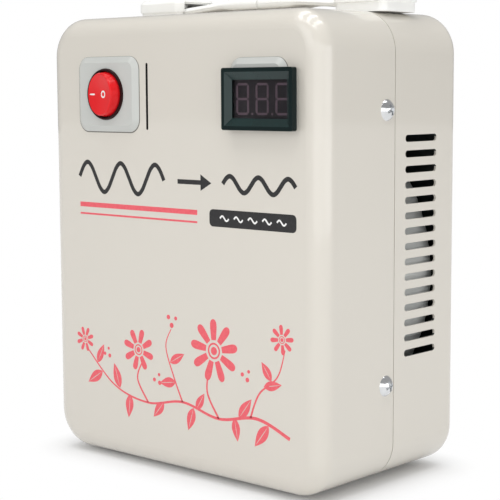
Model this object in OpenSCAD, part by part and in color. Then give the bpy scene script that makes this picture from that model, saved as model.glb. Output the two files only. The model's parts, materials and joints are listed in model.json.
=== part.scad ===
// Step-down power transformer in a two-shell steel case.
// Sizes in millimetres, +Z up, front towards -Y, origin on the floor under the middle of the whole part.
// Left and right are as seen from the front.

/* [Case] */
// Width of the case, side to side
case_w = 196; // [190:1:216]
// Height of the case without its feet
case_h = 240; // [236:1:264]
// Depth of the case, front face to rear face
case_d = 114; // [113:1:130]
// Thickness of the steel sheet
sheet = 1.2; // [0.8:0.1:1.5]
// Radius of the four long corners
corner_r = 21; // [18:0.5:24]
// Radius of the edge around the front face
front_edge_r = 10; // [8:0.5:12]
// Radius of the edge around the rear face
rear_edge_r = 6.5; // [5:0.5:8]
// Depth of the front shell, front face to seam
seam_depth = 58; // [57:0.5:60]
// Width of the seam between the shells
seam_gap = 0.5; // [0.3:0.1:0.8]
// How far the rear shell's lip reaches into the front shell
lip_reach = 13; // [12:0.5:16]

/* [Vents] */
// Vent slots on each side
vent_count = 15; // [9:1:16]
// Height of one slot
vent_w = 3.6; // [2.5:0.1:4]
// Length of one slot, front to back
vent_len = 27.2; // [20:0.2:30]
// Distance from slot to slot
vent_pitch = 7.88; // [6.5:0.02:8.5]
// Middle of the top slot below the top of the case
vent_drop = 64; // [60:0.2:70]
// Middle of the slots behind the front face
vent_depth = 80.6; // [80:0.2:86]

/* [Side screws] */
// Middle of the screws behind the front face
screw_depth = 51.6; // [50:0.2:52]
// Upper screws below the top of the case
screw_drop = 49.5; // [40:0.5:58]
// Lower screws above the bottom of the case
screw_rise = 51.2; // [40:0.5:60]
// Diameter of the domed head
screw_head_d = 10.8; // [9:0.2:11.6]
// Height of the domed head
screw_head_h = 3; // [2:0.1:3.6]

/* [Feet] */
// Height of the rubber feet
foot_h = 2.5; // [2.2:0.1:6]
// Diameter of the rubber feet
foot_d = 18; // [12:0.5:20]
// Feet out from the middle
foot_x = 64; // [60:0.5:66]
// Front feet behind the front face
foot_front = 24; // [22:0.5:34]
// Rear feet behind the front face
foot_rear = 94; // [88:0.5:95]

/* [Front plates] */
// Height of both plates above the front face
plate_t = 2.2; // [1.6:0.1:3]
// Width of the bevel around the plates
plate_bevel = 3.2; // [2:0.1:4]
// Corner radius of the plates
plate_r = 7; // [5:0.5:9]
// Width of the switch plate
switch_plate_w = 47; // [42:0.5:52]
// Height of the switch plate
switch_plate_h = 40; // [38:0.5:48]
// Width of the meter plate
meter_plate_w = 37.5; // [34:0.5:40]
// Height of the meter plate
meter_plate_h = 28; // [26:0.5:30]
// Meter plate above the middle of the meter
meter_plate_up = 6.3; // [5:0.1:7]
// Meter plate to the left of the middle of the meter
meter_plate_left = 3; // [2:0.1:4.5]

/* [Switch] */
// Middle of the switch, minus is to the left
switch_x = -49.5; // [-58:0.5:-46]
// Middle of the switch below the top of the case
switch_drop = 41.2; // [40:0.2:52]
// Radius of the rocker at its base
rocker_r = 12.1; // [11.5:0.1:12.6]
// Height of the rocker's rim above its pivot
rocker_h = 6.8; // [6.2:0.1:7.6]
// Tilt of the rocker to each side of the middle, degrees
rocker_tilt = 10; // [7:0.5:10]

/* [Slit] */
// Slit beside the switch plate, minus is to the left
slit_x = -20; // [-24:0.5:-16]
// Middle of the slit below the top of the case
slit_drop = 42.4; // [40:0.2:52]
// Width of the slit
slit_w = 1.6; // [0.8:0.1:2]
// Height of the slit
slit_h = 35; // [24:0.5:40]

/* [Meter] */
// Middle of the meter, plus is to the right
meter_x = 61.5; // [56:0.5:63]
// Middle of the meter below the top of the case
meter_drop = 43.6; // [42:0.2:52]
// Width of the bezel
bezel_w = 46; // [45:0.5:50]
// Height of the bezel
bezel_h = 30.5; // [29:0.5:34]
// Height of the bezel in front of its plate
bezel_t = 3.4; // [3:0.1:5]
// Width of the window
window_w = 35.6; // [34.6:0.2:36.8]
// Height of the window
window_h = 18.8; // [18:0.2:20.6]
// Height of a digit
digit_h = 15.6; // [13:0.2:16.4]
// Width of a digit
digit_w = 8.4; // [7:0.2:8.4]
// Distance from digit to digit
digit_pitch = 12.8; // [11.6:0.2:12.8]

/* [Outlets] */
// Outlets out from the middle
outlet_x = 62; // [60:0.5:66]
// Middle of the outlets below the top of the case
outlet_drop = 34; // [32:0.5:36]
// Width of the outlet flange
outlet_w = 30; // [29:0.5:32]
// Height of the outlet flange
outlet_h = 38; // [37:0.5:40]
// Thickness of the outlet flange
outlet_t = 3; // [2:0.1:4]
// Depth of the outlet body inside the case
outlet_back = 22; // [21:0.5:26]

/* [Breaker] */
// Middle of the breaker below the top of the case
breaker_drop = 24; // [23:0.5:26]
// Travel of the reset button
button_travel = 3; // [2:0.1:3.5]
// Radius of the reset button
button_r = 3.6; // [3:0.1:4]

/* [Cord gland] */
// Middle of the gland, minus is to the left
gland_x = -68; // [-70:0.5:-68]
// Middle of the gland above the bottom of the case
gland_rise = 31.5; // [30:0.5:33]
// Radius of the cord's bore
gland_bore_r = 4.2; // [3:0.1:5]
// Reach of the gland behind the rear face
gland_out = 17; // [15.5:0.5:20]

/* [Transformer] */
// Room around the wrapped toroid to the outside of the case
toroid_room = 6; // [5.5:0.5:16]
// Diameter of the hole through the toroid
toroid_hole_d = 44; // [36:1:52]
// Length of the toroid along its axis
toroid_len = 62; // [56:0.5:64]
// Rear face of the toroid in front of the rear face of the case
toroid_back = 11; // [10.8:0.1:15]
// Axis of the toroid above the middle of the room below the breaker
toroid_rise = 2; // [0:0.5:7]
// Thickness of the outer wrap
wrap_t = 0.8; // [0.5:0.1:1.2]
// Thickness of the winding around the core
winding_t = 9; // [6:0.5:11]

/* [Handle] */
// Middle of the handle behind the front face
handle_depth = 75.5; // [75:0.5:84]
// Width of the grip
grip_w = 24; // [20:0.5:28]
// Thickness of the grip
grip_t = 6; // [5.4:0.1:7]
// Length of each strap end, hinge line to bead
link_len = 39; // [38:0.1:40]
// Width of the strap ends
link_w = 22; // [16:0.5:22]
// Thickness of the strap ends
link_t = 3.6; // [3:0.1:3.8]
// Bead of each strap end above the top of the case
bead_rise = 4.4; // [4.4:0.1:4.8]
// Grip above the beads when it lies down
grip_rise = 3.2; // [3:0.1:3.4]
// Height of the end caps
cap_h = 12; // [12:0.1:14]

/* [Hidden] */
$fn = 64;
slip = 0.3;
floor_gap = 0.2;

case_z = foot_h;
case_top = case_z + case_h;
case_mid = case_z + case_h / 2;
bottom_in = case_z + sheet;
top_in = case_top - sheet;

lip_clear = 0.25;
lip_in = case_w / 2 - 2 * sheet - lip_clear;

side_shank_r = 2.4;
side_shank_len = 9;
side_hole_r = 2.75;
side_nut_w = 8;
side_nut_h = 4;
small_shank_r = 2;
small_hole_r = 2.3;
small_nut_w = 7;
small_nut_h = 3.2;
nut_play = 0.15;
tab_t = 0.8;
tab_w = 6.3;

pivot_out = plate_t - 3;
rim_r = rocker_r - 1.1;
front_proud = pivot_out + rocker_h * cos(rocker_tilt) + rim_r * sin(rocker_tilt);
front_y = -(case_d + gland_out - front_proud) / 2;
rear_y = front_y + case_d;

switch_z = case_top - switch_drop;
housing_r = rocker_r + 1.1;
housing_wall = 0.65;
flange_t = 1.2;
snug = 0.1;
pin_r = 1.25;
contact_x = 6.5;
lever_out = pivot_out - 10.6;
housing_back = pivot_out - 18;
switch_tab = 9;

meter_z = case_top - meter_drop;
meter_body_w = 40.6;
meter_body_h = 24.4;
meter_cut_w = meter_body_w + 2 * slip;
meter_cut_h = meter_body_h + 2 * slip;
meter_wall = 1.4;
backing_rim = 0.7;
bezel_rim = 2;
connector_x = 9;
connector_drop = 4;
meter_back = 20;
lens_w = meter_body_w - 2 * meter_wall - floor_gap;
lens_h = meter_body_h - 2 * meter_wall - floor_gap;
display_out = plate_t - 1.2;
display_t = 6;
segment_w = 1.2;
segment_t = 0.25;
digit_shift = 0.4;
board_t = 1.6;

outlet_z = case_top - outlet_drop;
blade_gap = 12.7;
blade_up = 5;
earth_down = 6.9;
earth_r = 2.6;

breaker_z = case_top - breaker_drop;
breaker_h = 28;
breaker_bush_r = 5.8;
breaker_tab = 8;
breaker_depth = 28;
tab_len = 8;
gland_z = case_z + gland_rise;
gland_r = 7.6;
locknut_w = 19;
locknut_h = 5;
gland_room = 1;

below_breaker = case_h - breaker_drop - breaker_h / 2;
toroid_z = case_z + below_breaker / 2 + toroid_rise;
toroid_d = 2 * min(case_w / 2 - toroid_room, below_breaker / 2 - toroid_rise - toroid_room);
toroid_rear_y = rear_y - toroid_back;
toroid_front_y = toroid_rear_y - toroid_len;
toroid_mid_y = toroid_rear_y - toroid_len / 2;
pad_t = 2;
bracket_t = 2;
clamp_t = 2;
bolt_r = 4;
bolt_head_h = 3;
pad_inset = 31;
washer_inset = 35;
toroid_edge_r = 5;
lead_out = 4.5;
wire_out = 5;
switch_lead_x = 8;
switch_lead_gap = 6;
switch_lead_rise = 54;
meter_lead_x = 48;
meter_lead_gap = 4;
meter_lead_rise = 48;
live_lead_x = 12;
live_lead_rise = 66;
neutral_lead_x = 22;
neutral_lead_rise = 62;
bracket_y = toroid_rear_y + pad_t;
bracket_w = 2 * (-gland_x - gland_r - gland_room);
lip_back = 5;
foot_room = 5;
foot_len = case_d - seam_depth - lip_back - foot_room - toroid_back + pad_t;

handle_y = front_y + handle_depth;
pivot_rise = bead_rise + grip_rise;
link_angle = asin(grip_rise / link_len);
cap_screw_x = case_w / 2 - corner_r - 5;
cap_in_x = cap_screw_x - 17.5;
cap_out_x = cap_screw_x + 17.5;
grip_half = cap_screw_x - 6.6 - link_len * cos(link_angle);
cap_len = cap_out_x - cap_in_x;
cap_mid_x = (cap_out_x + cap_in_x) / 2;
cap_w = 31;
cap_wall = 2;
cap_lip = 2.5;
bead_r = 2.2;
base_t = 1.6;
tray_h = 5.2;
cap_sink = 2.8;
backing_t = 2;

cream = [0.86, 0.83, 0.78];
pale_grey = [0.80, 0.81, 0.81];
dark = [0.10, 0.12, 0.12];
steel = [0.72, 0.73, 0.75];
brass = [0.80, 0.64, 0.30];
rubber = [0.15, 0.15, 0.15];

// Placing helpers: local z points out of the face, local y points up
module on_front(x, z) {
    translate([x, front_y, z]) rotate([90, 0, 0]) children();
}

module on_rear(x, z) {
    translate([x, rear_y, z]) rotate([90, 0, 180]) children();
}

module on_side(side, depth, z) {
    translate([side * case_w / 2, front_y + depth, z]) rotate([90, 0, side * 90]) children();
}

// Flat shapes
module rounded_rect(w, h, r) {
    square([w - 2 * r, h], center = true);
    square([w, h - 2 * r], center = true);
    for (sx = [-1, 1], sy = [-1, 1])
        translate([sx * (w / 2 - r), sy * (h / 2 - r)]) circle(r);
}

module slot_shape(w, len) {
    square([w, len - w], center = true);
    for (s = [-1, 1]) translate([0, s * (len - w) / 2]) circle(w / 2);
}

module block(w, h, from, to) {
    translate([-w / 2, -h / 2, from]) cube([w, h, to - from]);
}

module disc(r, from, to) {
    translate([0, 0, from]) cylinder(r = r, h = to - from);
}

module ring(r_out, r_in, from, to) {
    difference() {
        disc(r_out, from, to);
        disc(r_in, from - 1, to + 1);
    }
}

module hex_nut(across, bore_r, h) {
    difference() {
        cylinder(d = across / cos(30), h = h, $fn = 6);
        translate([0, 0, -1]) cylinder(r = bore_r, h = h + 2);
    }
}

module small_nut() {
    hex_nut(small_nut_w, small_shank_r + nut_play, small_nut_h);
}

// Domed screw head with a cross recess, and its shank below z = 0
module domed_screw(head_d, head_h, shank_r, shank_len) {
    dome_r = (head_d * head_d / 4 + head_h * head_h) / (2 * head_h);
    recess_w = head_d * 0.13;
    recess_len = head_d * 0.52;
    difference() {
        intersection() {
            translate([0, 0, head_h - dome_r]) sphere(dome_r);
            cylinder(d = head_d, h = head_h);
        }
        for (a = [0, 90])
            rotate([0, 0, a + 20]) block(recess_len, recess_w, head_h * 0.45, head_h + 1);
    }
    disc(shank_r, -shank_len, 0.1);
}

// Plate with a bevel all around its top, corners rounded
module bevel_plate(w, h, r, t, bevel) {
    for (sx = [-1, 1], sy = [-1, 1])
        translate([sx * (w / 2 - r), sy * (h / 2 - r), 0]) cylinder(r1 = r, r2 = r - bevel, h = t);
    rotate([90, 0, 90]) linear_extrude(w - 2 * r, center = true)
        polygon([[-h / 2, 0], [h / 2, 0], [h / 2 - bevel, t], [bevel - h / 2, t]]);
    rotate([90, 0, 0]) linear_extrude(h - 2 * r, center = true)
        polygon([[-w / 2, 0], [w / 2, 0], [w / 2 - bevel, t], [bevel - w / 2, t]]);
}

// Drawn shells: one wall section, run along the straight edges and turned round the corners
module wall_outline(reach, edge_r, start, depth) {
    translate([0, start]) square([reach - edge_r, depth - start]);
    translate([0, start + edge_r]) square([reach, depth - start - edge_r]);
    translate([reach - edge_r, start + edge_r]) circle(edge_r);
}

module wall_section(depth, edge_r) {
    difference() {
        wall_outline(corner_r, edge_r, 0, depth);
        wall_outline(corner_r - sheet, edge_r - sheet, sheet, depth + 1);
    }
}

module drawn_shell(depth, edge_r) {
    flat_w = case_w - 2 * corner_r;
    flat_h = case_h - 2 * corner_r;
    block(flat_w, flat_h, 0, sheet);
    for (side = [0, 180]) {
        rotate([0, 0, side]) translate([flat_w / 2, 0, 0])
            rotate([90, 0, 0]) linear_extrude(flat_h, center = true) wall_section(depth, edge_r);
        rotate([0, 0, side + 90]) translate([flat_h / 2, 0, 0])
            rotate([90, 0, 0]) linear_extrude(flat_w, center = true) wall_section(depth, edge_r);
        rotate([0, 0, side]) translate([flat_w / 2, flat_h / 2, 0])
            rotate_extrude(angle = 90) wall_section(depth, edge_r);
        rotate([0, 0, side]) translate([-flat_w / 2, flat_h / 2, 0])
            rotate([0, 0, 90]) rotate_extrude(angle = 90) wall_section(depth, edge_r);
    }
}

// Tube that follows the case outline, set in from it
module outline_tube(inset, wall, from, to) {
    inner = inset + wall;
    translate([0, front_y + from, case_mid]) rotate([-90, 0, 0]) linear_extrude(to - from)
        difference() {
            rounded_rect(case_w - 2 * inset, case_h - 2 * inset, corner_r - inset);
            rounded_rect(case_w - 2 * inner, case_h - 2 * inner, corner_r - inner);
        }
}

module at_side_screws() {
    for (side = [-1, 1], z = [case_top - screw_drop, case_z + screw_rise])
        on_side(side, screw_depth, z) children();
}

module at_bracket_screws() {
    for (sx = [-1, 1], part = [5 / 17, 13 / 17])
        translate([sx * bracket_w / 3, bracket_y - foot_len * part, case_z]) children();
}

module at_handle_screws() {
    for (sx = [-1, 1]) translate([sx * cap_screw_x, handle_y, case_top]) children();
}

module front_shell() {
    color(cream) difference() {
        translate([0, front_y, case_mid]) rotate([-90, 0, 0])
            drawn_shell(seam_depth - seam_gap / 2, front_edge_r);
        on_front(switch_x, switch_z) disc(housing_r + snug, -sheet - 1, 1);
        on_front(slit_x, case_top - slit_drop) translate([0, 0, -sheet - 1])
            linear_extrude(sheet + 2) slot_shape(slit_w, slit_h);
        on_front(meter_x, meter_z)
            block(meter_cut_w, meter_cut_h, -sheet - 1, 1);
        at_side_screws() disc(side_hole_r, -sheet - 1, 1);
    }
}

module rear_shell() {
    color(cream) difference() {
        union() {
            translate([0, rear_y, case_mid]) rotate([90, 0, 0])
                drawn_shell(case_d - seam_depth - seam_gap / 2, rear_edge_r);
            outline_tube(sheet + lip_clear, sheet, seam_depth - lip_reach, seam_depth + lip_back);
            outline_tube(sheet - 0.3, lip_clear + 0.6, seam_depth + 1, seam_depth + lip_back);
        }
        for (i = [0 : vent_count - 1])
            translate([0, front_y + vent_depth, case_top - vent_drop - i * vent_pitch])
                rotate([0, 90, 0]) linear_extrude(case_w + 10, center = true) slot_shape(vent_w, vent_len);
        at_side_screws() disc(side_hole_r, -2 * sheet - 2, 1);
        for (side = [-1, 1]) on_rear(side * outlet_x, outlet_z)
            translate([0, 0, -sheet - 1]) linear_extrude(sheet + 2)
                rounded_rect(outlet_w - 4 + 2 * slip, outlet_h - 4 + 2 * slip, 2 + slip);
        on_rear(0, breaker_z) disc(breaker_bush_r + slip, -sheet - 1, 1);
        on_rear(gland_x, gland_z) disc(gland_r + slip, -sheet - 1, 1);
        at_bracket_screws() disc(small_hole_r, -1, sheet + 1);
        at_handle_screws() disc(small_hole_r, -sheet - 1, 1);
    }
}

module side_screws() {
    color(steel) at_side_screws() domed_screw(screw_head_d, screw_head_h, side_shank_r, side_shank_len);
}

module side_nuts() {
    color(steel) at_side_screws()
        translate([0, 0, lip_in - case_w / 2 - side_nut_h])
            hex_nut(side_nut_w, side_shank_r + 0.25, side_nut_h);
}

module rubber_foot(x, depth) {
    color(rubber) translate([x, front_y + depth, 0]) cylinder(d = foot_d, h = foot_h);
}

module rubber_foot_front_left() { rubber_foot(-foot_x, foot_front); }
module rubber_foot_front_right() { rubber_foot(foot_x, foot_front); }
module rubber_foot_rear_left() { rubber_foot(-foot_x, foot_rear); }
module rubber_foot_rear_right() { rubber_foot(foot_x, foot_rear); }

module switch_plate() {
    color(pale_grey) on_front(switch_x, switch_z) difference() {
        bevel_plate(switch_plate_w, switch_plate_h, plate_r, plate_t, plate_bevel);
        disc(housing_r + snug, -1, plate_t + 1);
    }
}

module meter_plate() {
    color(pale_grey) on_front(meter_x, meter_z) difference() {
        union() {
            translate([-meter_plate_left, meter_plate_up, 0])
                bevel_plate(meter_plate_w, meter_plate_h, plate_r, plate_t, plate_bevel);
            block(meter_cut_w + 2 * backing_rim, meter_cut_h + 2 * backing_rim, 0, plate_t);
        }
        block(meter_cut_w, meter_cut_h, -1, plate_t + 1);
    }
}

// Switch, with the rocker and the contact lever tilted to opposite sides
module switch_housing() {
    well_r = housing_r - housing_wall;
    color(dark) on_front(switch_x, switch_z) difference() {
        union() {
            translate([0, 0, plate_t]) cylinder(r1 = housing_r + 0.6, r2 = housing_r + 0.2, h = flange_t);
            disc(housing_r, housing_back, plate_t + 1);
            for (s = [-1, 1]) translate([s * housing_r, 0, 0]) block(2, 6, -sheet - 4, -sheet);
        }
        disc(well_r, pivot_out - 6.6, plate_t + flange_t + 1);
        block(19, 10, lever_out - 3, pivot_out - 6);
        translate([0, 0, pivot_out]) rotate([90, 0, 0])
            cylinder(r = pin_r, h = 2 * housing_r + 2, center = true);
        for (x = [-contact_x, 0, contact_x])
            translate([x, 0, 0]) block(tab_t, tab_w, housing_back - 1, lever_out);
    }
}

module switch_rocker() {
    dish = 0.7;
    dish_rim = rim_r - 0.4;
    dish_r = (dish_rim * dish_rim + dish * dish) / (2 * dish);
    color([0.88, 0.14, 0.16]) on_front(switch_x, switch_z)
        translate([0, 0, pivot_out]) rotate([0, -rocker_tilt, 0]) difference() {
            union() {
                rotate_extrude() polygon([
                    [0, -2.2], [rocker_r - 0.7, -2.2], [rocker_r, -1.2], [rocker_r, 2.4],
                    [rocker_r - 0.7, rocker_h - 0.6], [rim_r, rocker_h], [0, rocker_h]
                ]);
                disc(3.4, -5.6, -2);
            }
            translate([0, 0, rocker_h - dish + dish_r]) sphere(dish_r);
            rotate([90, 0, 0]) cylinder(r = 1.5, h = 40, center = true);
            disc(1.6, -6, -3.4);
        }
}

module switch_pivot_pin() {
    color(steel) on_front(switch_x, switch_z) translate([0, 0, pivot_out]) rotate([90, 0, 0])
        cylinder(r = pin_r, h = 2 * housing_r - 0.2, center = true);
}

module switch_plunger() {
    color(steel) on_front(switch_x, switch_z)
        translate([0, 0, pivot_out]) rotate([0, -rocker_tilt, 0]) {
            disc(1.3, -8.4, -3.4);
            translate([0, 0, -8.4]) sphere(1.3);
        }
}

module switch_lever() {
    color(brass) on_front(switch_x, switch_z)
        translate([0, 0, lever_out]) rotate([0, rocker_tilt, 0]) {
            block(15, 5, -0.5, 0.5);
            for (x = [-contact_x, contact_x]) translate([x, 0, 0]) disc(1.6, -0.9, -0.5);
            rotate([90, 0, 0]) cylinder(r = 0.8, h = 5, center = true);
        }
}

module switch_terminals() {
    color(brass) on_front(switch_x, switch_z) {
        for (x = [-contact_x, contact_x]) translate([x, 0, 0]) {
            block(tab_t, tab_w, housing_back - switch_tab, lever_out - 3);
            disc(1.6, lever_out - 3, lever_out - 2.4);
        }
        block(tab_t, tab_w, housing_back - switch_tab, lever_out - 1.1);
    }
}

// Panel meter
module bezel_well() {
    front_w = bezel_w - 2 * bezel_rim;
    front_h = bezel_h - 2 * bezel_rim;
    low = plate_t + 1;
    high = plate_t + bezel_t + 0.01;
    intersection() {
        rotate([90, 0, 0]) linear_extrude(bezel_h, center = true) polygon([
            [-window_w / 2, low], [window_w / 2, low], [front_w / 2, high], [-front_w / 2, high]
        ]);
        rotate([90, 0, 90]) linear_extrude(bezel_w, center = true) polygon([
            [-window_h / 2, low], [window_h / 2, low], [front_h / 2, high], [-front_h / 2, high]
        ]);
    }
}

module meter_housing() {
    color(dark) on_front(meter_x, meter_z) difference() {
        union() {
            translate([0, 0, plate_t]) linear_extrude(bezel_t) rounded_rect(bezel_w, bezel_h, 1.2);
            block(meter_body_w, meter_body_h, -meter_back, plate_t + 0.5);
        }
        bezel_well();
        block(window_w, window_h, plate_t - 1, plate_t + 1.5);
        block(meter_body_w - 2 * meter_wall, meter_body_h - 2 * meter_wall, -meter_back - 1, plate_t + 0.6);
    }
}

module meter_lens() {
    color([0.25, 0.27, 0.28]) on_front(meter_x, meter_z)
        block(lens_w, lens_h, plate_t - 0.4, plate_t + 0.6);
}

module meter_display() {
    color([0.16, 0.16, 0.17]) on_front(meter_x, meter_z)
        block(lens_w, lens_h, display_out - display_t, display_out);
}

// One bar of a digit, pointed at both ends
module segment_bar(len) {
    bar = segment_w;
    linear_extrude(segment_t) polygon([
        [-len / 2, 0], [(bar - len) / 2, bar / 2], [(len - bar) / 2, bar / 2],
        [len / 2, 0], [(len - bar) / 2, -bar / 2], [(bar - len) / 2, -bar / 2]
    ]);
}

module digit() {
    reach_w = digit_w - segment_w;
    reach_h = (digit_h - segment_w) / 2;
    for (row = [-1, 0, 1]) translate([0, row * reach_h, 0]) segment_bar(reach_w - 0.4);
    for (sx = [-1, 1], sy = [-1, 1])
        translate([sx * reach_w / 2, sy * reach_h / 2, 0]) rotate([0, 0, 90]) segment_bar(reach_h - 0.4);
}

module meter_segments() {
    color([0.62, 0.50, 0.56]) on_front(meter_x, meter_z)
        translate([digit_shift, 0, display_out]) {
            for (i = [-1, 0, 1]) translate([i * digit_pitch, 0, 0]) digit();
            for (i = [-0.5, 0.5])
                translate([i * digit_pitch, (segment_w - digit_h) / 2, 0])
                    cylinder(d = segment_w, h = segment_t);
        }
}

module meter_board() {
    color([0.10, 0.35, 0.20]) on_front(meter_x, meter_z)
        block(lens_w, lens_h, display_out - display_t - board_t, display_out - display_t);
}

module meter_connector() {
    back = display_out - display_t - board_t;
    color([0.90, 0.90, 0.86]) on_front(meter_x + connector_x, meter_z - connector_drop) difference() {
        block(10, 6, back - 7, back);
        block(8.4, 4.4, back - 8, back - 1.5);
    }
}

// Rear outlets
module outlet_body() {
    difference() {
        union() {
            linear_extrude(outlet_t) rounded_rect(outlet_w, outlet_h, 3);
            translate([0, 0, -outlet_back]) linear_extrude(outlet_back + 0.5)
                rounded_rect(outlet_w - 4, outlet_h - 4, 2);
        }
        for (s = [-1, 1]) translate([s * blade_gap / 2, blade_up, 0]) {
            block(2.2, 8 - s * 0.7, -4, outlet_t + 1);
            block(4, 9.4, -outlet_back - 1, -3);
        }
        translate([0, -earth_down, 0]) disc(earth_r, -4, outlet_t + 1);
        translate([0, -earth_down, 0]) disc(4.3, -outlet_back - 1, -3);
    }
}

module outlet_contacts() {
    for (s = [-1, 1]) translate([s * blade_gap / 2, blade_up, 0]) {
        difference() {
            block(4, 9, -17, -3);
            block(2.2, 10, -15, -2);
        }
        block(tab_t, tab_w, -outlet_back - tab_len, -16.9);
    }
    translate([0, -earth_down, 0]) {
        ring(4, earth_r, -17, -3);
        block(tab_t, tab_w, -outlet_back - tab_len, -18);
        disc(4, -18.5, -16.9);
    }
}

module outlet_left() { color(dark) on_rear(-outlet_x, outlet_z) outlet_body(); }
module outlet_right() { color(dark) on_rear(outlet_x, outlet_z) outlet_body(); }
module outlet_left_contacts() { color(brass) on_rear(-outlet_x, outlet_z) outlet_contacts(); }
module outlet_right_contacts() { color(brass) on_rear(outlet_x, outlet_z) outlet_contacts(); }

// Thermal breaker with a reset button
module breaker_body() {
    back = -sheet - breaker_depth;
    color(dark) on_rear(0, breaker_z) difference() {
        union() {
            block(16, breaker_h, back, -sheet);
            disc(breaker_bush_r, -sheet - 0.5, 5);
        }
        disc(button_r + slip, -sheet - 4, 6);
        disc(5.4, -sheet - 4 - 2 - button_travel - 1, -sheet - 3.5);
        for (s = [-1, 1]) translate([0, s * breaker_tab, 0]) block(tab_t, tab_w, back - 1, back + 6);
    }
}

module breaker_button() {
    color([0.85, 0.16, 0.14]) on_rear(0, breaker_z) {
        difference() {
            disc(button_r, -sheet - 6, 10);
            translate([0, 0, 10 + 14.4]) sphere(15);
        }
        disc(5, -sheet - 6, -sheet - 3.8);
    }
}

module breaker_nut() {
    color(dark) on_rear(0, breaker_z) difference() {
        union() {
            disc(9, 0, 1);
            cylinder(d = 16, h = 3.4, $fn = 12);
        }
        disc(breaker_bush_r + slip, -1, 5);
    }
}

module breaker_terminals() {
    back = -sheet - breaker_depth;
    color(brass) on_rear(0, breaker_z)
        for (s = [-1, 1]) translate([0, s * breaker_tab, 0]) block(tab_t, tab_w, back - tab_len, back + 6);
}

// Cord gland in the rear face
module cord_gland() {
    color(dark) on_rear(gland_x, gland_z) difference() {
        union() {
            cylinder(d = 22, h = 4.5, $fn = 6);
            disc(gland_r, -sheet - 9, gland_out - 5.5);
        }
        disc(gland_bore_r, -sheet - 10, gland_out);
    }
}

module gland_dome_nut() {
    wall = 2.2;
    color(dark) on_rear(gland_x, gland_z) difference() {
        rotate_extrude() polygon([
            [0, 4.5], [gland_r + slip + wall, 4.5], [gland_r + slip + wall, gland_out - 5],
            [gland_r + slip, gland_out - 1], [6.6, gland_out], [0, gland_out]
        ]);
        disc(gland_r + slip, 4, gland_out - 3);
        disc(gland_bore_r, 4, gland_out + 1);
    }
}

module gland_seal() {
    color(rubber) on_rear(gland_x, gland_z) ring(gland_r, gland_bore_r, gland_out - 5.5, gland_out - 3);
}

module gland_locknut() {
    color(dark) on_rear(gland_x, gland_z) translate([0, 0, -sheet - locknut_h])
        hex_nut(locknut_w, gland_r + slip, locknut_h);
}

// Toroid: section outlines run from the hole to the outside, set in layer by layer
module toroid_section(inset, r) {
    w = (toroid_d - toroid_hole_d) / 2 - 2 * inset;
    h = toroid_len - 2 * inset;
    translate([(toroid_d + toroid_hole_d) / 4, 0]) rounded_rect(w, h, r);
}

module on_toroid_axis() {
    translate([0, toroid_mid_y, toroid_z]) rotate([-90, 0, 0]) children();
}

module transformer_tape() {
    color([0.86, 0.87, 0.86]) on_toroid_axis() rotate_extrude() difference() {
        toroid_section(0, toroid_edge_r);
        toroid_section(wrap_t, toroid_edge_r - wrap_t);
    }
}

module transformer_winding() {
    inset = wrap_t + floor_gap;
    color([0.72, 0.36, 0.16]) on_toroid_axis() rotate_extrude() difference() {
        toroid_section(inset, toroid_edge_r - inset);
        toroid_section(inset + winding_t, 1);
    }
}

module transformer_core() {
    inset = wrap_t + winding_t + 3 * floor_gap;
    color([0.40, 0.41, 0.43]) on_toroid_axis() rotate_extrude() toroid_section(inset, 0.8);
}

module clamp_pad() {
    pad_r = toroid_d / 2 - pad_inset;
    ring(pad_r, bolt_r + slip, 0, pad_t);
}

module transformer_pad_front() {
    color(rubber) on_toroid_axis() translate([0, 0, -toroid_len / 2 - pad_t]) clamp_pad();
}

module transformer_pad_rear() {
    color(rubber) on_toroid_axis() translate([0, 0, toroid_len / 2]) clamp_pad();
}

module clamp_washer() {
    rim = toroid_d / 2 - washer_inset;
    color(steel) on_toroid_axis() translate([0, 0, -toroid_len / 2 - pad_t]) difference() {
        ring(rim, bolt_r + slip, -clamp_t, 0);
        ring(rim - 4, 14, -0.5, 1);
    }
}

module centre_bolt() {
    head_y = toroid_len / 2 + pad_t + bracket_t;
    color(steel) on_toroid_axis() {
        translate([0, 0, head_y]) cylinder(d = 15, h = bolt_head_h, $fn = 6);
        disc(bolt_r, -toroid_len / 2 - pad_t - clamp_t - 9, head_y + 0.5);
    }
}

module centre_nut() {
    color(steel) on_toroid_axis()
        translate([0, 0, -toroid_len / 2 - pad_t - clamp_t - 6.5]) hex_nut(13, bolt_r + 0.15, 6.5);
}

// Bracket that carries the toroid on the floor of the rear shell
module bracket() {
    gusset = foot_len - 4;
    upright = toroid_z - bottom_in + 50;
    color(steel) difference() {
        union() {
            translate([-bracket_w / 2, bracket_y, bottom_in])
                cube([bracket_w, bracket_t, upright]);
            translate([-bracket_w / 2, bracket_y - foot_len, bottom_in])
                cube([bracket_w, foot_len + 1, bracket_t]);
            for (x = [-bracket_w / 2, bracket_w / 2 - bracket_t])
                translate([x, bracket_y, bottom_in]) rotate([90, 0, 90]) linear_extrude(bracket_t)
                    polygon([[0.5, 0], [0.5, gusset], [-gusset, bracket_t], [-gusset, 0]]);
        }
        on_toroid_axis() disc(bolt_r + slip, 0, toroid_len);
        at_bracket_screws() disc(small_hole_r, 0, sheet + bracket_t + 1);
    }
}

module bracket_screws() {
    color(steel) at_bracket_screws() {
        disc(3.8, -1.8, 0);
        disc(small_shank_r, -0.5, sheet + bracket_t + 5);
    }
}

module bracket_nuts() {
    color(steel) at_bracket_screws() translate([0, 0, sheet + bracket_t]) small_nut();
}

// Handle: a grip with two strap ends whose beads run inside the end caps
module on_handle() {
    translate([0, handle_y, case_top]) children();
}

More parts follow.
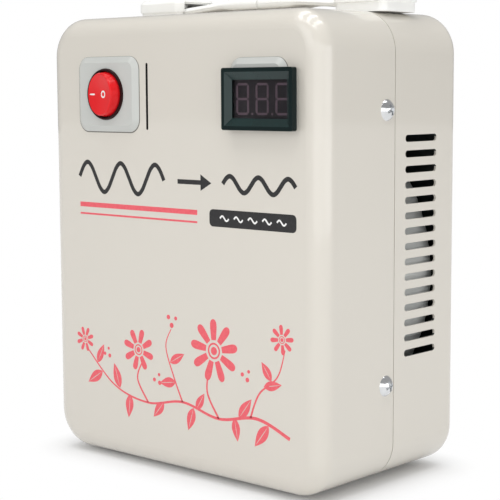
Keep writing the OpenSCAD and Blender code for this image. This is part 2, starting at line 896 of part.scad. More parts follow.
module handle_grip() {
    grip_end = grip_half - 1;
    color(cream) on_handle() difference() {
        translate([0, 0, pivot_rise]) rotate([90, 0, 90])
            linear_extrude(2 * grip_end, center = true) rounded_rect(grip_w, grip_t, grip_t * 0.45);
        for (s = [-1, 1]) translate([s * grip_half, 0, pivot_rise]) rotate([90, 0, 0])
            cylinder(r = link_t / 2 + slip, h = grip_w + 2, center = true);
    }
}

// Strap end, drawn for the right hand side
module strap_end() {
    translate([grip_half, 0, pivot_rise]) rotate([0, link_angle, 0]) {
        rotate([90, 0, 0]) cylinder(r = link_t / 2, h = link_w, center = true);
        translate([0, -link_w / 2, -link_t / 2]) cube([link_len, link_w, link_t]);
        translate([link_len, 0, 0]) rotate([90, 0, 0]) cylinder(r = bead_r, h = 25.6, center = true);
    }
}

module handle_link_right() { color(cream) on_handle() strap_end(); }
module handle_link_left() { color(cream) on_handle() mirror([1, 0, 0]) strap_end(); }

// Room for the bead and the strap end inside an end cap
module strap_room(from, to) {
    well_len = cap_len - cap_lip - cap_wall;
    translate([cap_in_x + cap_lip + well_len / 2, 0, from])
        linear_extrude(to - from) rounded_rect(well_len, cap_w - 2 * cap_wall, 1.5);
    translate([cap_in_x, 0, 0]) block(2 * cap_lip + 1, 23, from, to + 0.8);
}

// End cap, drawn for the right hand side
module end_cap() {
    roof = cap_h - cap_wall;
    difference() {
        union() {
            difference() {
                translate([cap_mid_x, 0, 0]) {
                    translate([0, 0, tray_h]) linear_extrude(roof - tray_h) rounded_rect(cap_len, cap_w, 5);
                    translate([0, 0, roof]) bevel_plate(cap_len, cap_w, 5, cap_wall, cap_wall * 0.8);
                }
                strap_room(tray_h - 1, roof);
            }
            translate([cap_screw_x, 0, 0]) {
                disc(3.8, base_t, roof + 0.5);
                disc(6, roof - 2, roof + 0.5);
            }
        }
        translate([cap_screw_x, 0, 0]) {
            disc(small_hole_r, 0, cap_h + 1);
            disc(4.6, cap_h - cap_sink, cap_h + 1);
        }
    }
}

module handle_cap_right() { color(pale_grey) on_handle() end_cap(); }
module handle_cap_left() { color(pale_grey) on_handle() mirror([1, 0, 0]) end_cap(); }

// Tray under an end cap
module cap_base() {
    difference() {
        translate([cap_mid_x, 0, 0]) linear_extrude(tray_h) rounded_rect(cap_len - 2, cap_w - 2, 4);
        strap_room(base_t, tray_h + 1);
        translate([cap_screw_x, 0, 0]) disc(small_hole_r, -1, base_t + 1);
    }
}

module handle_base_right() { color(pale_grey) on_handle() cap_base(); }
module handle_base_left() { color(pale_grey) on_handle() mirror([1, 0, 0]) cap_base(); }

module handle_screws() {
    color(steel) at_handle_screws()
        translate([0, 0, cap_h - cap_sink])
            domed_screw(8, 2.4, small_shank_r, cap_h - cap_sink + sheet + backing_t + 5);
}

module handle_backing_plate() {
    color(steel) difference() {
        translate([0, handle_y, top_in]) block(2 * cap_screw_x + 9.4, 20, -backing_t, 0);
        at_handle_screws() disc(small_hole_r, -sheet - backing_t - 1, 1);
    }
}

module handle_nuts() {
    color(steel) at_handle_screws() translate([0, 0, -sheet - backing_t - small_nut_h]) small_nut();
}

// Inner wires: straight runs with a ball at each bend
module wire_run(points, r) {
    for (i = [0 : len(points) - 2]) {
        run = points[i + 1] - points[i];
        translate(points[i]) rotate([0, acos(run[2] / norm(run)), atan2(run[1], run[0])])
            cylinder(r = r, h = norm(run));
    }
    for (i = [1 : len(points) - 2]) bend_ball(points[i - 1], points[i], points[i + 1], r * 1.5);
}

// Ball at a bend, with its poles square to the bend
module bend_ball(before, at, after, r) {
    to_before = (before - at) / norm(before - at);
    to_after = (after - at) / norm(after - at);
    out = -(to_before + to_after) / norm(to_before + to_after);
    pole = cross(to_before, to_after) / norm(cross(to_before, to_after));
    side = cross(pole, out);
    multmatrix([
        [out[0], side[0], pole[0], at[0]],
        [out[1], side[1], pole[1], at[1]],
        [out[2], side[2], pole[2], at[2]],
        [0, 0, 0, 1]
    ]) sphere(r);
}

// Lead from the front face of the toroid, up in front of it
function lead(x, rise) = [
    [x, toroid_front_y, toroid_z + rise],
    [x, toroid_front_y - lead_out, toroid_z + rise]
];

module wires_switch() {
    start_y = front_y - housing_back + switch_tab;
    color([0.10, 0.10, 0.12]) for (s = [-1, 1]) {
        x = switch_x + (s + 1) / 2 * contact_x;
        end = lead(switch_x + switch_lead_x + s * switch_lead_gap, switch_lead_rise);
        wire_run(concat(
            [[x, start_y, switch_z], [x, start_y + 3, switch_z]],
            [end[1], end[0]]
        ), 1.2);
    }
}

module wires_live() {
    end_y = rear_y - sheet - breaker_depth - tab_len;
    tab_y = rear_y - outlet_back - tab_len;
    tab_z = outlet_z + blade_up;
    color([0.45, 0.26, 0.14]) {
        wire_run(concat(lead(live_lead_x, live_lead_rise), [
            [live_lead_x, toroid_front_y - wire_out, breaker_z - breaker_h / 2],
            [0, end_y - 5, breaker_z - breaker_tab],
            [0, end_y, breaker_z - breaker_tab]
        ]), 1.4);
        wire_run([
            [-outlet_x + blade_gap / 2, tab_y, tab_z], [-outlet_x + blade_gap / 2, tab_y - 4, tab_z],
            [-16, end_y - 6, breaker_z + breaker_tab], [16, end_y - 6, breaker_z + breaker_tab],
            [outlet_x + blade_gap / 2, tab_y - 10, tab_z + 6],
            [outlet_x + blade_gap / 2, tab_y - 4, tab_z], [outlet_x + blade_gap / 2, tab_y, tab_z]
        ], 1.4);
        wire_run([[0, end_y - 6, breaker_z + breaker_tab], [0, end_y, breaker_z + breaker_tab]], 1.2);
    }
}

module wires_neutral() {
    tab_y = rear_y - outlet_back - tab_len;
    tab_z = outlet_z + blade_up;
    color([0.15, 0.30, 0.62]) for (s = [-1, 1]) {
        tab_x = s * outlet_x - blade_gap / 2;
        wire_run(concat(lead(s * neutral_lead_x, neutral_lead_rise), [
            [s * (neutral_lead_x + 2), toroid_front_y - wire_out, outlet_z - 8],
            [tab_x - 0.5, tab_y - 12, outlet_z],
            [tab_x, tab_y - 4, tab_z], [tab_x, tab_y, tab_z]
        ]), 1.4);
    }
}

module wires_meter() {
    back_y = front_y - display_out + display_t + board_t + 1.5;
    color([0.70, 0.16, 0.14]) for (s = [-1, 1]) {
        x = meter_x + connector_x + s * 2;
        z = meter_z - connector_drop;
        end = lead(meter_lead_x + s * meter_lead_gap, meter_lead_rise);
        wire_run(concat(
            [[x, back_y, z], [x, front_y + meter_back + 4, z]],
            [end[1], end[0]]
        ), 0.8);
    }
}

front_shell();
rear_shell();
side_screws();
side_nuts();
rubber_foot_front_left();
rubber_foot_front_right();
rubber_foot_rear_left();
rubber_foot_rear_right();
switch_plate();
meter_plate();
switch_housing();
switch_rocker();
switch_pivot_pin();
switch_plunger();
switch_lever();
switch_terminals();
meter_housing();
meter_lens();
meter_display();
meter_segments();
meter_board();
meter_connector();
outlet_left();
outlet_right();
outlet_left_contacts();
outlet_right_contacts();
breaker_body();
breaker_button();
breaker_nut();
breaker_terminals();
cord_gland();
gland_dome_nut();
gland_seal();
gland_locknut();
transformer_core();
transformer_winding();
transformer_tape();
transformer_pad_front();
transformer_pad_rear();
clamp_washer();
centre_bolt();
centre_nut();
bracket();
bracket_screws();
bracket_nuts();
handle_grip();
handle_link_left();
handle_link_right();
handle_cap_left();
handle_cap_right();
handle_base_left();
handle_base_right();
handle_screws();
handle_backing_plate();
handle_nuts();
wires_switch();
wires_live();
wires_neutral();
wires_meter();
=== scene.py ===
import json
import math

import bmesh
import bpy
from mathutils import Matrix, Vector

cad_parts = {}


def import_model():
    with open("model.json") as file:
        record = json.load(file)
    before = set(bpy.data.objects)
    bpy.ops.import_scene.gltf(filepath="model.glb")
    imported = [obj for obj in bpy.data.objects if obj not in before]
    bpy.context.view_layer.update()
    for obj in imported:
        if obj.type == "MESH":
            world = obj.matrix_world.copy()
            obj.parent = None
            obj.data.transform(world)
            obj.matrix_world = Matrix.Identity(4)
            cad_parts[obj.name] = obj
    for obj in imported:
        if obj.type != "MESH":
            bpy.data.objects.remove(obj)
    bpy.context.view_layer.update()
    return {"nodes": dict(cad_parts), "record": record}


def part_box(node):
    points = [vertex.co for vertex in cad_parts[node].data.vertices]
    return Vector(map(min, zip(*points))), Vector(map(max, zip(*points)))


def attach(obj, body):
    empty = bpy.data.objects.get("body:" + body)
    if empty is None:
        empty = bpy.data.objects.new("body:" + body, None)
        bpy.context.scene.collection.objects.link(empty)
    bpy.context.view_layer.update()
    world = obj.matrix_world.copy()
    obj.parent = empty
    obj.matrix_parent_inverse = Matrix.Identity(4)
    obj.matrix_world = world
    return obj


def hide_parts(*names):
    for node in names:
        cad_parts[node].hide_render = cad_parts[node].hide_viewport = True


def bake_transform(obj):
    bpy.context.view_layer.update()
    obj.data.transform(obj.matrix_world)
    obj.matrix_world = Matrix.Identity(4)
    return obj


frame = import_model()
nodes = frame["nodes"]
MM = 0.001

# Sizes of the part, in millimetres
FRONT_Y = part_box("front_shell")[0].y / MM
REAR_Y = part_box("rear_shell")[1].y / MM
CASE_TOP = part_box("front_shell")[1].z / MM
CASE_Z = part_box("front_shell")[0].z / MM
CASE_HALF_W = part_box("front_shell")[1].x / MM
CASE_MID = (0.0, (FRONT_Y + REAR_Y) / 2, (CASE_Z + CASE_TOP) / 2)
CORNER_R = 21.0
SWITCH_X, SWITCH_DROP = -49.5, 41.2
SWITCH_Z = CASE_TOP - SWITCH_DROP
SLIT_X, SLIT_DROP = -20.0, 42.4
SLIT_W, SLIT_H = 1.6, 35.0
SLIT_V = CASE_TOP - SLIT_DROP - CASE_Z
METER_X, METER_DROP = 61.5, 43.6
METER_Z = CASE_TOP - METER_DROP
BEZEL_W, BEZEL_H, BEZEL_RIM = 46.0, 30.5, 2.0
WINDOW_W, WINDOW_H = 35.6, 18.8
PLATE_T, BEZEL_T, WINDOW_SEAT = 2.2, 3.4, 1.0
PLATE_R = 7.0
SWITCH_PLATE_W, SWITCH_PLATE_H = 47.0, 40.0
METER_PLATE_W, METER_PLATE_H = 37.5, 28.0
METER_PLATE_LEFT, METER_PLATE_UP = 3.0, 6.3

# Every inside wall of the case lies further than this from its middle
INSIDE_REACH = 50.0
# A Mix node has sockets of the same name for each type: these are the colour ones
MIX_A, MIX_B, MIX_OUT = 6, 7, 2


# Materials
def linear(rgb):
    """sRGB 0 to 255 as a linear colour with alpha."""
    out = []
    for c in rgb:
        c /= 255
        out.append(c / 12.92 if c <= 0.04045 else ((c + 0.055) / 1.055) ** 2.4)
    return tuple(out) + (1.0,)


class Finish:
    """A Principled material and the texture nodes that feed it."""

    def __init__(self, name, **sockets):
        self.mat = bpy.data.materials.new(name)
        self.mat.use_nodes = True
        self.tree = self.mat.node_tree
        self.bsdf = self.tree.nodes["Principled BSDF"]
        self.coords = self.add("ShaderNodeTexCoord").outputs["Object"]
        for key, value in sockets.items():
            self.bsdf.inputs[key.replace("_", " ")].default_value = value

    def add(self, kind, **values):
        node = self.tree.nodes.new(kind)
        for key, value in values.items():
            setattr(node, key, value)
        return node

    def link(self, source, target):
        self.tree.links.new(source, target)

    def stretched(self, scale):
        node = self.add("ShaderNodeMapping")
        node.inputs["Scale"].default_value = scale
        self.link(self.coords, node.inputs["Vector"])
        return node.outputs["Vector"]

    def noise(self, scale, detail=3.0, stretch=None, seed=0.0):
        node = self.add("ShaderNodeTexNoise", noise_dimensions="4D")
        node.inputs["W"].default_value = seed
        node.inputs["Scale"].default_value = scale
        node.inputs["Detail"].default_value = detail
        self.link(self.stretched(stretch) if stretch else self.coords, node.inputs["Vector"])
        return node.outputs["Fac"]

    def cells(self, scale):
        node = self.add("ShaderNodeTexVoronoi")
        node.inputs["Scale"].default_value = scale
        self.link(self.coords, node.inputs["Vector"])
        return node.outputs["Distance"]

    def waves(self, scale, axis, distortion):
        node = self.add("ShaderNodeTexWave", wave_type="BANDS", bands_direction=axis)
        node.inputs["Scale"].default_value = scale
        node.inputs["Distortion"].default_value = distortion
        self.link(self.coords, node.inputs["Vector"])
        return node.outputs["Fac"]

    def inside(self, middle, reach):
        """1 on faces that look at the middle from further than reach, both in mm, and 0 elsewhere."""
        away = self.add("ShaderNodeVectorMath", operation="SUBTRACT")
        self.link(self.coords, away.inputs[0])
        away.inputs[1].default_value = Vector(middle) * MM
        along = self.add("ShaderNodeVectorMath", operation="DOT_PRODUCT")
        self.link(away.outputs[0], along.inputs[0])
        self.link(self.add("ShaderNodeNewGeometry").outputs["True Normal"], along.inputs[1])
        inward = self.add("ShaderNodeMath", operation="LESS_THAN")
        self.link(along.outputs["Value"], inward.inputs[0])
        inward.inputs[1].default_value = -reach * MM
        return inward.outputs[0]

    def ramp(self, source, stops):
        node = self.add("ShaderNodeValToRGB")
        for element, (place, rgb) in zip(node.color_ramp.elements, stops):
            element.position = place
            element.color = linear(rgb)
        self.link(source, node.inputs["Fac"])
        return node.outputs["Color"]

    def tint(self, source, dark, light):
        self.link(self.ramp(source, [(0.3, dark), (0.7, light)]), self.bsdf.inputs["Base Color"])

    def gloss(self, source, low, high):
        node = self.add("ShaderNodeMapRange")
        node.inputs["From Min"].default_value = 0.3
        node.inputs["From Max"].default_value = 0.7
        node.inputs["To Min"].default_value = low
        node.inputs["To Max"].default_value = high
        self.link(source, node.inputs["Value"])
        self.link(node.outputs["Result"], self.bsdf.inputs["Roughness"])

    def bump(self, source, strength, distance_mm):
        node = self.add("ShaderNodeBump")
        node.inputs["Strength"].default_value = strength
        node.inputs["Distance"].default_value = distance_mm * MM
        self.link(source, node.inputs["Height"])
        self.link(node.outputs["Normal"], self.bsdf.inputs["Normal"])


def paint(name, dark, light, inside_shade_dark, inside_shade_light):
    """Stoved gloss enamel on steel, with a trace of orange peel, and a dark colour on the inside faces as
    painted shade.
    """
    f = Finish(name, Coat_Weight=0.8, Coat_Roughness=0.03, Coat_IOR=1.5)
    enamel = f.ramp(f.noise(4, 2), [(0.1, dark), (0.9, light)])
    # Painted shade: the inside faces of the case take a dark colour
    inside_shade = f.ramp(f.noise(60, 4), [(0.3, inside_shade_dark), (0.7, inside_shade_light)])
    pick = f.add("ShaderNodeMix", data_type="RGBA")
    f.link(f.inside(CASE_MID, INSIDE_REACH), pick.inputs["Factor"])
    f.link(enamel, pick.inputs[MIX_A])
    f.link(inside_shade, pick.inputs[MIX_B])
    f.link(pick.outputs[MIX_OUT], f.bsdf.inputs["Base Color"])
    f.gloss(f.noise(20, 2, seed=3.0), 0.30, 0.33)
    f.bump(f.noise(160, 1, seed=1.0), 0.02, 0.05)
    return f.mat


def moulded(name, dark, light, rough, grain=1400, depth=0.02, coat=0.0, shine=0.5):
    """Moulded plastic: slight flow marks and a fine spark-eroded grain."""
    f = Finish(name, Coat_Weight=coat, Coat_Roughness=0.05, Specular_IOR_Level=shine)
    f.tint(f.noise(45, 4, stretch=(1, 1, 0.4)), dark, light)
    f.gloss(f.noise(200, 3, seed=2.0), rough * 0.85, rough * 1.15)
    f.bump(f.noise(grain, 3, seed=5.0), 0.25, depth)
    return f.mat


def metal(name, dark, light, rough, brush=None):
    """Bare or plated metal, brushed along one axis where brush says so."""
    f = Finish(name, Metallic=1.0)
    f.tint(f.noise(70, 4, stretch=brush), dark, light)
    f.gloss(f.noise(900, 3, seed=4.0, stretch=brush), rough * 0.7, rough * 1.4)
    f.bump(f.noise(1500, 2, seed=6.0, stretch=brush), 0.2, 0.01)
    return f.mat


def rubbery(name, dark, light):
    """Matt rubber with a pebbled skin."""
    f = Finish(name)
    f.tint(f.noise(120, 5), dark, light)
    f.gloss(f.noise(260, 3, seed=2.0), 0.62, 0.82)
    f.bump(f.cells(900), 0.4, 0.06)
    return f.mat


def ink(name, dark, light):
    """Screen-printed ink with a faint mesh mark."""
    f = Finish(name)
    f.tint(f.noise(700, 3), dark, light)
    f.gloss(f.noise(300, 2, seed=1.0), 0.34, 0.46)
    f.bump(f.waves(420, "DIAGONAL", 0.4), 0.12, 0.01)
    return f.mat


def smoked(name):
    """Clear smoked window with fine wiping marks."""
    f = Finish(name, Transmission_Weight=1.0, IOR=1.2)
    f.tint(f.noise(30, 2), (220, 217, 220), (228, 225, 227))
    f.gloss(f.noise(400, 4, stretch=(1, 1, 6)), 0.05, 0.09)
    f.bump(f.noise(160, 2, seed=2.0), 0.05, 0.01)
    return f.mat


def film(name):
    """Polyester tape: streaked along the wrap, with creases."""
    f = Finish(name, Coat_Weight=0.3, Coat_Roughness=0.12)
    f.tint(f.noise(70, 5, stretch=(1, 0.15, 1)), (220, 223, 222), (243, 244, 241))
    f.gloss(f.noise(180, 4, seed=3.0), 0.28, 0.5)
    f.bump(f.noise(240, 4, seed=1.0, stretch=(1, 0.2, 1)), 0.5, 0.25)
    return f.mat


LOOKS = {
    # The last two colours are painted shade on the inside faces of the case
    "cream_paint": paint("cream_paint", (214, 209, 199), (218, 213, 203), (42, 50, 48), (52, 60, 58)),
    "chrome_screw": metal("chrome_screw", (206, 208, 210), (236, 237, 238), 0.12),
    "steel": metal("steel", (150, 153, 158), (190, 193, 198), 0.34, brush=(1, 8, 1)),
    "black_rubber": rubbery("black_rubber", (22, 22, 23), (36, 36, 37)),
    "grey_plastic": moulded("grey_plastic", (196, 198, 194), (201, 203, 199), 0.36, coat=0.5),
    "black_plastic": moulded("black_plastic", (8, 25, 25), (12, 30, 30), 0.34,
                             grain=1800, depth=0.01, shine=0.15),
    "red_plastic": moulded("red_plastic", (224, 20, 27), (234, 32, 37), 0.2, depth=0.008, shine=0.3),
    "brass": metal("brass", (176, 138, 62), (214, 178, 96), 0.28, brush=(1, 1, 6)),
    "smoked_window": smoked("smoked_window"),
    "segment_plastic": moulded("segment_plastic", (118, 102, 112), (126, 108, 118), 0.5, shine=0.1),
    "circuit_board": moulded("circuit_board", (12, 70, 38), (22, 92, 52), 0.4, grain=600),
    "white_plastic": moulded("white_plastic", (220, 220, 212), (230, 230, 222), 0.4),
    "core_steel": metal("core_steel", (84, 88, 94), (120, 124, 130), 0.5, brush=(1, 9, 1)),
    "winding_wire": metal("winding_wire", (140, 70, 34), (188, 104, 56), 0.3, brush=(1, 0.1, 1)),
    "wrap_film": film("wrap_film"),
    "strap_plastic": moulded("strap_plastic", (250, 250, 247), (253, 253, 250), 0.46,
                             grain=700, depth=0.06),
    "cap_plastic": moulded("cap_plastic", (250, 250, 247), (253, 253, 250), 0.36, coat=0.2),
    "wire_black": moulded("wire_black", (24, 24, 26), (38, 38, 40), 0.45),
    "wire_brown": moulded("wire_brown", (96, 56, 32), (116, 70, 42), 0.45),
    "wire_blue": moulded("wire_blue", (32, 66, 142), (44, 82, 160), 0.45),
    "wire_red": moulded("wire_red", (166, 36, 32), (186, 48, 42), 0.45),
}
CORAL_INK = ink("coral_ink", (232, 88, 100), (240, 104, 114))
BLACK_INK = ink("black_ink", (26, 25, 26), (38, 37, 38))
WHITE_INK = ink("white_ink", (236, 236, 234), (246, 246, 244))
# Painted shadow: a dark line at the foot of each plate that stands in for its contact shadow
PLATE_SHADOW_INK = ink("painted_plate_shadow", (112, 110, 104), (122, 120, 113))
# The bezel slopes' grain is real; their colour, lighter than the rim, is painted light
BEZEL_GRAIN_AND_LIGHT = moulded("bezel_grain_and_painted_light", (12, 36, 35), (20, 46, 45), 0.24,
                      grain=1600, depth=0.06, shine=0.4)
DISPLAY_FACE = moulded("display_face", (52, 50, 53), (58, 56, 59), 0.4, shine=0.1)
# The switch ring is dark plastic; its red tint is a painted reflection of the red rocker
RING_WITH_RED_REFLECTION = moulded("ring_with_painted_red_reflection", (36, 7, 9), (44, 10, 12), 0.34, shine=0.15)

for part in frame["record"]["subparts"]:
    mesh = nodes[part["node"]].data
    mesh.materials.clear()
    mesh.materials.append(LOOKS[part["material_slot"]])
nodes["meter_display"].data.materials[0] = DISPLAY_FACE
nodes["switch_housing"].data.materials[0] = RING_WITH_RED_REFLECTION


# Mesh helpers
def piece(name, bm, material, body, smooth=False):
    """A new object from bm, in metres, that rides on a body."""
    bmesh.ops.recalc_face_normals(bm, faces=bm.faces)
    mesh = bpy.data.meshes.new(name)
    bm.to_mesh(mesh)
    bm.free()
    mesh.materials.append(material)
    mesh.polygons.foreach_set("use_smooth", [smooth] * len(mesh.polygons))
    obj = bpy.data.objects.new(name, mesh)
    bpy.context.scene.collection.objects.link(obj)
    if body:
        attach(obj, body)
    return obj


def skin(bm, rings, closed):
    """Faces between rings of points, which close in a loop or have flat ends."""
    size = len(rings[0])
    count = len(rings)
    for i in range(count if closed else count - 1):
        here, there = rings[i], rings[(i + 1) % count]
        for j in range(size):
            k = (j + 1) % size
            bm.faces.new((here[j], here[k], there[k], there[j]))
    if not closed:
        bm.faces.new(rings[0])
        bm.faces.new(rings[-1][::-1])


def fan(bm, outline, place, front, back):
    """Closed thin shape from an outline that its own middle can see. place(u, v, w) gives metres."""
    n = len(outline)
    mid_u = sum(p[0] for p in outline) / n
    mid_v = sum(p[1] for p in outline) / n
    tops = [bm.verts.new(place(u, v, front)) for u, v in outline]
    lows = [bm.verts.new(place(u, v, back)) for u, v in outline]
    top_mid = bm.verts.new(place(mid_u, mid_v, front))
    low_mid = bm.verts.new(place(mid_u, mid_v, back))
    for i in range(n):
        j = (i + 1) % n
        bm.faces.new((top_mid, tops[i], tops[j]))
        bm.faces.new((low_mid, lows[j], lows[i]))
        bm.faces.new((tops[i], lows[i], lows[j], tops[j]))


def strip(bm, left, right, place, front, back, closed=False):
    """Closed thin band between two rows of points."""
    rings = []
    for a, b in zip(left, right):
        rings.append([bm.verts.new(place(*a, front)), bm.verts.new(place(*b, front)),
                      bm.verts.new(place(*b, back)), bm.verts.new(place(*a, back))])
    skin(bm, rings, closed)


def smooth_path(points, steps=10):
    """Points along a smooth curve through the given ones."""
    ends = [points[0]] + list(points) + [points[-1]]
    out = []
    for i in range(1, len(ends) - 2):
        p0, p1, p2, p3 = (Vector(ends[i + k]) for k in (-1, 0, 1, 2))
        for s in range(steps):
            t = s / steps
            out.append(0.5 * (2 * p1 + (p2 - p0) * t + (2 * p0 - 5 * p1 + 4 * p2 - p3) * t * t
                              + (3 * p1 - p0 - 3 * p2 + p3) * t ** 3))
    out.append(Vector(points[-1]))
    return out


def sides_of(path, width):
    """Two rows of points beside a path; width(t) is the full width at t from 0 to 1."""
    left, right = [], []
    last = len(path) - 1
    for i, p in enumerate(path):
        run = path[min(i + 1, last)] - path[max(i - 1, 0)]
        across = Vector((-run.y, run.x)).normalized() * width(i / last) / 2
        left.append(tuple(p + across))
        right.append(tuple(p - across))
    return left, right


def oval(x, y, rx, ry, count=20):
    """Outline of an ellipse."""
    angles = [2 * math.pi * i / count for i in range(count)]
    return [(x + rx * math.cos(a), y + ry * math.sin(a)) for a in angles]


def turned(x, y, turn, points):
    """Points turned about the origin and then moved to x, y."""
    c, s = math.cos(turn), math.sin(turn)
    return [(x + u * c - v * s, y + u * s + v * c) for u, v in points]


def rounded_outline(x, y, width, height, radius, steps=8):
    """Outline of a rectangle with round corners, from its right side up and round."""
    out = []
    for quarter, (sx, sy) in enumerate(((1, 1), (-1, 1), (-1, -1), (1, -1))):
        for k in range(steps + 1):
            a = (quarter + k / steps) * math.pi / 2
            out.append((x + sx * (width / 2 - radius) + radius * math.cos(a),
                        y + sy * (height / 2 - radius) + radius * math.sin(a)))
    return out


# Print on the front face: ink starts just under the face, and layers that overlap differ in height
INK_BACK = -0.02
LAYERS = (0.040, 0.046, 0.052, 0.058)
STEM_LAYER, LEAF_LAYER, FLOWER_LAYER, BERRY_LAYER = LAYERS


def on_front(u, v, w):
    """u across and v above the case bottom, w out of the front face, in mm."""
    return Vector((u, FRONT_Y - w, CASE_Z + v)) * MM


def stroke(bm, points, width, height=LAYERS[0], ends=(1.0, 1.0)):
    """Brush line through points; ends are the shares of its width at the start and the end."""
    path = smooth_path([Vector(p) for p in points])
    first, last = ends
    left, right = sides_of(path, lambda t: width * (first + (last - first) * t))
    strip(bm, left, right, on_front, height, INK_BACK)


def leaf(bm, x, y, turn, length, width):
    """Pointed leaf in two halves with a bare rib between them."""
    steps = 10
    edge = 0.02
    rib_share = 0.014
    for side in (1, -1):
        outer, inner = [], []
        for i in range(steps + 1):
            t = i / steps
            swell = math.sin(math.pi * t ** 0.8) * width / 2
            rib = rib_share * length * math.sin(math.pi * t)
            outer.append((length * t, side * (swell + edge)))
            inner.append((length * t, side * min(rib, swell)))
        strip(bm, turned(x, y, turn, outer), turned(x, y, turn, inner), on_front, LEAF_LAYER, INK_BACK)


def daisy(bm, x, y, radius, petals, turn):
    """Round-petalled flower with a ring and a dot in its middle."""
    hub, waist, petal_share = 0.34, 0.35, 0.80
    dot, ring_in, ring_out = (radius * share for share in (0.13, 0.20, 0.26))
    half_angle = math.pi / petals * petal_share
    steps = 16
    for k in range(petals):
        shape = []
        for i in range(steps + 1):
            t = i / steps
            across = math.sin(math.pi * t) ** 0.75
            reach = hub + (1 - hub) * (1 - (2 * t - 1) ** 2) ** 0.5 if 0 < t < 1 else hub
            aside = (2 * t - 1) * half_angle * (waist + (1 - waist) * across)
            shape.append((radius * reach, radius * aside))
        petal_turn = turn + 2 * math.pi * k / petals
        fan(bm, turned(x, y, petal_turn, shape), on_front, FLOWER_LAYER, INK_BACK)
    fan(bm, oval(x, y, dot, dot), on_front, FLOWER_LAYER, INK_BACK)
    strip(bm, oval(x, y, ring_out, ring_out, count=28), oval(x, y, ring_in, ring_in, count=28),
          on_front, FLOWER_LAYER, INK_BACK, closed=True)


def berries(bm, x, y, turn, size):
    """Three berries, each a little smaller than the one before."""
    for k, (along, aside) in enumerate(((0.0, 0.0), (2.6, 1.9), (2.9, -1.7))):
        u, v = turned(x, y, turn, [(along * size, aside * size)])[0]
        r = size * (0.95 - 0.12 * k)
        fan(bm, oval(u, v, r, r), on_front, BERRY_LAYER, INK_BACK)


# Points of each stem, its width and the shares of the width at its ends
STEMS = (
    ([(78, 30), (56, 37), (30, 33), (4, 38), (-22, 34), (-48, 40), (-70, 58)], 1.5, (1.25, 0.5)),
    ([(52, 37), (58, 50), (70, 60), (75, 74)], 1.2, (1.0, 0.5)),
    ([(30, 33.2), (22, 46), (24, 60)], 1.3, (1.0, 0.7)),
    ([(-22, 34.2), (-30, 46), (-26, 56)], 1.2, (1.0, 0.7)),
    ([(4, 38), (-2, 50), (-8, 66), (-4, 76)], 1.1, (1.0, 0.5)),
)
# Place, radius, petals and turn of each flower
FLOWERS = (
    (27, 68, 16.5, 9, 0.2), (-29, 62, 11.5, 8, 0.5), (73, 79, 7.5, 8, 0.1), (-72, 63, 7.0, 8, 0.35),
)
# Place, turn, length and width of each leaf
LEAVES = (
    (64, 34.5, 4.05, 15, 6.5), (44, 35.5, 0.9, 14, 6), (41, 35, 4.9, 12, 5.5), (14, 35.5, 1.0, 11, 5),
    (12, 36, 4.4, 13, 6), (-10, 36, 4.0, 12, 5.5), (-36, 36.5, 4.6, 13, 6), (-44, 39, 1.9, 14, 6),
    (-58, 46.5, 3.7, 14, 6), (-62, 51, 1.1, 12, 5), (61, 54, 0.2, 12, 5), (66, 57.5, 2.2, 11, 5),
    (-1, 48, 3.3, 12, 5.5), (-5, 58, 0.5, 12, 5),
)
# Place, turn and size of each bunch of berries
BUNCHES = ((-3.5, 78, 1.45, 1.5), (-13, 46, 2.2, 1.3), (50, 56, 1.9, 1.3), (-52, 56, 2.3, 1.2))


def garland():
    bm = bmesh.new()
    for points, width, ends in STEMS:
        stroke(bm, points, width, STEM_LAYER, ends)
    for flower in FLOWERS:
        daisy(bm, *flower)
    for row in LEAVES:
        leaf(bm, *row)
    for bunch in BUNCHES:
        berries(bm, *bunch)
    piece("print_garland", bm, CORAL_INK, "case")


def wave_points(x0, x1, mid, height, cycles, count):
    """Points along a sine line from x0 to x1."""
    return [(x0 + (x1 - x0) * i / count, mid + height * math.sin(2 * math.pi * cycles * i / count))
            for i in range(count + 1)]


SIGN_V, SIGN_W, SIGN_CYCLES = 154.0, 2.4, 2.5
# Ends and height of each large wave
SIGN_WAVES = ((-74, -8, 8.0), (34, 82, 4.0))
SHAFT_BACK, SHAFT_TIP = 2, 20
HEAD_BACK, HEAD_TIP, HEAD_HALF, HEAD_BLUNT = 18.5, 26.0, 4.2, 0.1
TAG_X, TAG_V = 53.5, 136.5
TAG_W, TAG_H, TAG_R = 57.8, 8.8, 2.4
TAG_WAVES = (35, 44.5, 54, 63.5, 73)
TAG_WAVE_HALF, TAG_WAVE_H, TAG_WAVE_W = 3, 1.2, 0.9
RULE_LEFT, RULE_RIGHT = -74, 16
# Height above the case bottom and width of each rule
RULES = ((138.6, 2.6), (133.6, 1.0))


